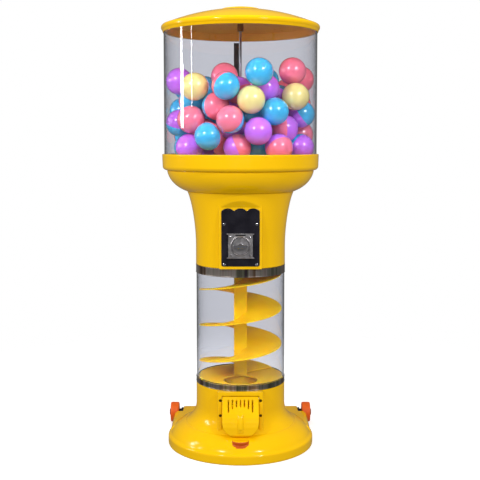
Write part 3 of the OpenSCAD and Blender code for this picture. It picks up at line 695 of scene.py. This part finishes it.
def loose_parts(mesh):
    """Centre and half-width of each loose part of a mesh."""
    bm = bmesh.new()
    bm.from_mesh(mesh)
    seen = set()
    parts = []
    for start in bm.verts:
        if start.index in seen:
            continue
        seen.add(start.index)
        stack, xs = [start], []
        while stack:
            vert = stack.pop()
            xs.append(vert.co.copy())
            for edge in vert.link_edges:
                other = edge.other_vert(vert)
                if other.index not in seen:
                    seen.add(other.index)
                    stack.append(other)
        low = Vector(min(p[k] for p in xs) for k in range(3))
        high = Vector(max(p[k] for p in xs) for k in range(3))
        parts.append(((low + high) / 2, max(high - low) / 2))
    bm.free()
    return parts


def capsule_centres(node):
    """Centres of a node's capsules, from their outer skins."""
    skins = loose_parts(frame["nodes"][node].data)
    found = []
    for centre, half in skins:
        outer = half > (CAPSULE_R - 0.6) * MM
        if outer and all((centre - c).length > CAPSULE_R * MM for c in found):
            found.append(centre)
    return sorted(found, key=lambda c: (round(c.z, 4), round(c.x, 4)))


def half_shell(side, sides=40, rings=11):
    """One half of a capsule, with a small step at its seam. side is 1 above the seam, -1 below."""
    skin = CAPSULE_R - CAPSULE_PLAY
    outline = [(CAPSULE_R - CAPSULE_T, 0), (CAPSULE_R - SEAM_DEEP, 0),
               (CAPSULE_R - SEAM_DEEP, SEAM_HALF), (CAPSULE_R - 0.12, SEAM_HALF + 0.25)]
    first = math.asin((SEAM_HALF + 0.8) / CAPSULE_R)
    for i in range(rings):
        a = first + (math.pi / 2 - first) * i / rings
        outline.append((skin * math.cos(a), skin * math.sin(a)))
    verts, faces = [], []
    for r, z in outline:
        for k in range(sides):
            b = 2 * math.pi * k / sides
            verts.append((r * MM * math.cos(b), r * MM * math.sin(b), side * z * MM))
    verts.append((0, 0, side * skin * MM))
    for row in range(len(outline) - 1):
        for k in range(sides):
            a, b = row * sides + k, row * sides + (k + 1) % sides
            face = (a, b, b + sides, a + sides)
            faces.append(face if side > 0 else face[::-1])
    last = (len(outline) - 1) * sides
    for k in range(sides):
        face = (last + k, last + (k + 1) % sides, len(verts) - 1)
        faces.append(face if side > 0 else face[::-1])
    return verts, faces


def make_capsules(name, node, slot, colours, choose):
    """All of a node's capsules in one piece. choose gives each capsule's two colours."""
    halves = {side: half_shell(side) for side in (1, -1)}
    verts, faces, paint = [], [], []
    draw = random.Random(SEED)
    for centre in capsule_centres(node):
        upper, lower = choose(draw)
        tilt = Matrix.Rotation(math.acos(draw.uniform(-1, 1)), 4, "X")
        spin = Matrix.Rotation(draw.uniform(0, 2 * math.pi), 4, "Z")
        place = Matrix.Translation(centre) @ spin @ tilt
        for side, colour in ((1, upper), (-1, lower)):
            shell_verts, shell_faces = halves[side]
            first = len(verts)
            verts += [tuple(place @ Vector(v)) for v in shell_verts]
            faces += [tuple(first + i for i in face) for face in shell_faces]
            paint += [colour] * len(shell_faces)
    mesh = bpy.data.meshes.new(name)
    mesh.from_pydata(verts, [], faces)
    for colour in colours:
        mesh.materials.append(colour)
    mesh.polygons.foreach_set("material_index", paint)
    smooth(mesh, 30)
    return piece(link(name, mesh), "machine", slot, [node])


# ---- Materials ----


def srgb(r, g, b):
    """Linear colour for 0 to 255 screen values."""
    def line(v):
        v /= 255
        return v / 12.92 if v <= 0.04045 else ((v + 0.055) / 1.055) ** 2.4
    return (line(r), line(g), line(b), 1)


def new_material(name):
    """A new material, its shader and its node tree."""
    mat = bpy.data.materials.new(name)
    mat.use_nodes = True
    tree = mat.node_tree
    return mat, tree.nodes["Principled BSDF"], tree


def noise(tree, scale, detail=3, stretch=(1, 1, 1), rough=0.5):
    """Noise in object space, stretched along the axes."""
    coords = tree.nodes.new("ShaderNodeTexCoord")
    mapping = tree.nodes.new("ShaderNodeMapping")
    mapping.inputs["Scale"].default_value = stretch
    tex = tree.nodes.new("ShaderNodeTexNoise")
    tex.inputs["Scale"].default_value = scale
    tex.inputs["Detail"].default_value = detail
    tex.inputs["Roughness"].default_value = rough
    tree.links.new(coords.outputs["Object"], mapping.inputs["Vector"])
    tree.links.new(mapping.outputs["Vector"], tex.inputs["Vector"])
    return tex.outputs["Fac"]


def ramp(tree, value, stops):
    """Colour ramp through (position, colour) stops."""
    node = tree.nodes.new("ShaderNodeValToRGB")
    elements = node.color_ramp.elements
    while len(elements) < len(stops):
        elements.new(0.5)
    for element, (position, colour) in zip(elements, stops):
        element.position = position
        element.color = colour
    tree.links.new(value, node.inputs["Fac"])
    return node.outputs["Color"]


def spread(tree, value, low, high, start=0.3, end=0.7):
    """value mapped from start..end to low..high."""
    node = tree.nodes.new("ShaderNodeMapRange")
    node.inputs["From Min"].default_value = start
    node.inputs["From Max"].default_value = end
    node.inputs["To Min"].default_value = low
    node.inputs["To Max"].default_value = high
    tree.links.new(value, node.inputs["Value"])
    return node.outputs["Result"]


def bump(tree, shader, height, distance):
    """A relief of the given depth in metres."""
    node = tree.nodes.new("ShaderNodeBump")
    node.inputs["Strength"].default_value = 1.0
    node.inputs["Distance"].default_value = distance
    tree.links.new(height, node.inputs["Height"])
    tree.links.new(node.outputs["Normal"], shader.inputs["Normal"])


SKIN_RADIUS = (1.0, 0.35, 0.05)  # how far red, green and blue light go under a skin
SKIN_DEPTH = 0.012
PLASTIC_IOR = 1.5
ACRYLIC_IOR = 1.49
CLEAR_SHADOW = (0.93, 0.93, 0.95, 1)  # share of light that a clear wall lets through


def moulded(name, colour, roughness=0.2, vary=0.06, coat=0.0, grain=0.00006, shine=0.5, glow=0,
            coat_roughness=0.04):
    """Glossy moulded plastic: a little mottling, faint orange peel and fine handling marks.

    glow is the share of light that passes under the skin of a translucent piece.
    """
    mat, shader, tree = new_material(name)
    dark = tuple(c * (1 - vary) for c in colour[:3]) + (1,)
    light = tuple(min(1, c * (1 + vary * 0.4)) for c in colour[:3]) + (1,)
    tree.links.new(ramp(tree, noise(tree, 7, 4), [(0.3, dark), (0.7, light)]),
                   shader.inputs["Base Color"])
    marks = noise(tree, 60, 8, (1, 1, 0.25), 0.7)
    tree.links.new(spread(tree, marks, roughness * 0.8, roughness * 1.35),
                   shader.inputs["Roughness"])
    bump(tree, shader, noise(tree, 160, 2), grain)
    shader.inputs["IOR"].default_value = PLASTIC_IOR
    shader.inputs["Coat Weight"].default_value = coat
    shader.inputs["Coat Roughness"].default_value = coat_roughness
    shader.inputs["Specular IOR Level"].default_value = shine
    shader.inputs["Subsurface Weight"].default_value = glow
    shader.inputs["Subsurface Radius"].default_value = SKIN_RADIUS
    shader.inputs["Subsurface Scale"].default_value = SKIN_DEPTH
    return mat


def metal(name, colour, roughness=0.25, stretch=(1, 1, 1), scale=220, vary=0.12, grain=0.00002):
    """Metal with fine marks, drawn out along the axes by stretch."""
    mat, shader, tree = new_material(name)
    shader.inputs["Metallic"].default_value = 1.0
    dark = tuple(c * (1 - vary) for c in colour[:3]) + (1,)
    marks = noise(tree, scale, 6, stretch, 0.65)
    tree.links.new(ramp(tree, marks, [(0.25, dark), (0.7, colour)]), shader.inputs["Base Color"])
    tree.links.new(spread(tree, marks, roughness * 0.75, roughness * 1.4),
                   shader.inputs["Roughness"])
    bump(tree, shader, marks, grain)
    return mat


def painted(name, colour, roughness=0.4):
    """Powder coat: fine pebbled bump and a slight change of gloss."""
    mat, shader, tree = new_material(name)
    pale = tuple(min(1, c * 1.6 + 0.01) for c in colour[:3]) + (1,)
    tree.links.new(ramp(tree, noise(tree, 30, 5), [(0.35, colour), (0.8, pale)]),
                   shader.inputs["Base Color"])
    pebbles = noise(tree, 900, 2)
    tree.links.new(spread(tree, pebbles, roughness * 0.85, roughness * 1.2),
                   shader.inputs["Roughness"])
    bump(tree, shader, pebbles, 0.00006)
    return mat


def clear(name, tint, roughness=0.012, wave=0.0002):
    """Rolled clear sheet: real refraction, faint waviness, and lamps reach what is inside."""
    mat, shader, tree = new_material(name)
    shader.inputs["Base Color"].default_value = tint
    shader.inputs["Transmission Weight"].default_value = 1.0
    shader.inputs["IOR"].default_value = ACRYLIC_IOR
    shader.inputs["Roughness"].default_value = roughness
    bump(tree, shader, noise(tree, 9, 2, (1, 1, 0.15)), wave)
    nodes, links = tree.nodes, tree.links
    path = nodes.new("ShaderNodeLightPath")
    through = nodes.new("ShaderNodeBsdfTransparent")
    through.inputs["Color"].default_value = CLEAR_SHADOW
    mix = nodes.new("ShaderNodeMixShader")
    links.new(path.outputs["Is Shadow Ray"], mix.inputs["Fac"])
    links.new(shader.outputs["BSDF"], mix.inputs[1])
    links.new(through.outputs["BSDF"], mix.inputs[2])
    links.new(mix.outputs["Shader"], nodes["Material Output"].inputs["Surface"])
    return mat


def banding():
    """Dark streaky stainless strip: upright streaks of black, brown, grey and a greenish grey."""
    mat, shader, tree = new_material("dark_band")
    shader.inputs["Metallic"].default_value = 1.0
    streaks = noise(tree, 26, 4, (1, 1, 0.02), 0.6)
    stops = [(0.30, srgb(58, 46, 46)), (0.42, srgb(136, 112, 92)), (0.52, srgb(200, 188, 182)),
             (0.60, srgb(140, 142, 120)), (0.70, srgb(84, 72, 78))]
    tree.links.new(ramp(tree, streaks, stops), shader.inputs["Base Color"])
    fine = noise(tree, 300, 3, (1, 1, 0.05))
    tree.links.new(spread(tree, fine, 0.3, 0.46), shader.inputs["Roughness"])
    bump(tree, shader, fine, 0.00003)
    return mat


YELLOW = srgb(252, 196, 2)
AMBER = srgb(255, 204, 2)


def capsule_finish(name, colour):
    """Glossy shell that shows the lamps as soft points."""
    return moulded(name, colour, 0.2, coat=1.0, shine=1.0, coat_roughness=0.19)


def make_materials():
    """Each material slot's finish, and two extra finishes of painted shade: under the lid and on
    the base's finger lip.
    """
    return {
        "yellow_plastic": moulded("yellow_plastic", YELLOW, 0.16, 0.05, coat=0.3, shine=0.2),
        "yellow_satin_plastic": moulded("yellow_satin_plastic", YELLOW, 0.34, shine=0.2),
        "clear_acrylic": clear("clear_acrylic", (0.86, 0.87, 0.92, 1)),
        "orange_plastic": moulded("orange_plastic", AMBER, 0.4, 0.08, shine=0.2, glow=0.3),
        "dark_band": banding(),
        "black_plate": painted("black_plate", srgb(12, 9, 22), 0.3),
        "chrome": metal("chrome", srgb(214, 214, 220), 0.12),
        "cast_metal": metal("cast_metal", srgb(222, 218, 220), 0.38, scale=140, vary=0.28,
                            grain=0.0001),
        "zinc_steel": metal("zinc_steel", srgb(186, 188, 192), 0.3, (1, 1, 0.1)),
        "grey_steel": painted("grey_steel", srgb(120, 124, 130)),
        "white_plastic": moulded("white_plastic", srgb(228, 228, 224), 0.4),
        "brown_plastic": moulded("brown_plastic", srgb(110, 76, 48), 0.45),
        "bush_plastic": moulded("bush_plastic", srgb(206, 170, 96), 0.45),
        "orange_rubber": moulded("orange_rubber", srgb(246, 104, 14), 0.42, 0.1, grain=0.0002),
        # Painted shade: a deeper orange for the shaded underside of the lid.
        "lid_underside_painted_shade": moulded("lid_underside_painted_shade", srgb(255, 186, 70), 0.3),
        # Painted shade: dark orange for the shaded front of the base's finger lip.
        "lip_painted_shade": moulded("lip_painted_shade", srgb(205, 86, 6), 0.35),
        "black_metal": painted("black_metal", srgb(26, 26, 28), 0.35),
        "black_strip": painted("black_strip", srgb(44, 42, 44), 0.5),
        "lock_metal": metal("lock_metal", srgb(140, 106, 40), 0.4),
        "capsule_two_tone": capsule_finish("capsule_pink", srgb(255, 124, 150)),
        "capsule_plain": capsule_finish("capsule_purple", srgb(206, 112, 244)),
    }


def capsule_colours(materials):
    """Pink, purple, blue, cream and coral."""
    return [materials["capsule_two_tone"], materials["capsule_plain"],
            capsule_finish("capsule_blue", srgb(62, 188, 236)),
            capsule_finish("capsule_cream", srgb(250, 232, 146)),
            capsule_finish("capsule_coral", srgb(255, 110, 132))]


PINK, PURPLE, BLUE, CREAM, CORAL = range(5)


def two_tone(draw):
    """Colours of a capsule's two halves."""
    return draw.choice([(PINK, BLUE), (PINK, PURPLE), (PINK, BLUE), (PURPLE, PINK),
                        (PINK, BLUE), (BLUE, PURPLE)])


def plain(draw):
    """One colour for both halves of a capsule."""
    colour = draw.choice([CREAM, CREAM, BLUE, BLUE, PURPLE, PURPLE, PINK, PINK, PINK, CORAL])
    return colour, colour


def finish_cad_nodes(materials):
    """Each CAD node takes the material of its record slot."""
    for sub in frame["record"]["subparts"]:
        obj = frame["nodes"][sub["node"]]
        slots = obj.material_slots
        for slot in slots:
            slot.material = materials[sub["material_slot"]]
        if not slots:
            obj.data.materials.append(materials[sub["material_slot"]])


make_camera()
make_world()
make_lights()
make_floor()
materials = make_materials()
finish_cad_nodes(materials)
colours = capsule_colours(materials)
made = [make_lid(), make_lid_cap(), make_collar(), make_bowl(), make_globe(), make_tower(),
        make_band("lower_ring", "lower_band"), make_band("upper_ring", "upper_band"),
        make_floor_seal()]
made += make_ramp() + make_moulded()
made.append(make_capsules("balls_two_tone", "capsules_two_tone", "capsule_two_tone", colours,
                          two_tone))
made.append(make_capsules("balls_plain", "capsules_plain", "capsule_plain", colours, plain))
for obj in made:
    if not obj.data.materials:
        obj.data.materials.append(materials[obj["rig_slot"]])
bpy.context.scene.view_settings.view_transform = "Standard"
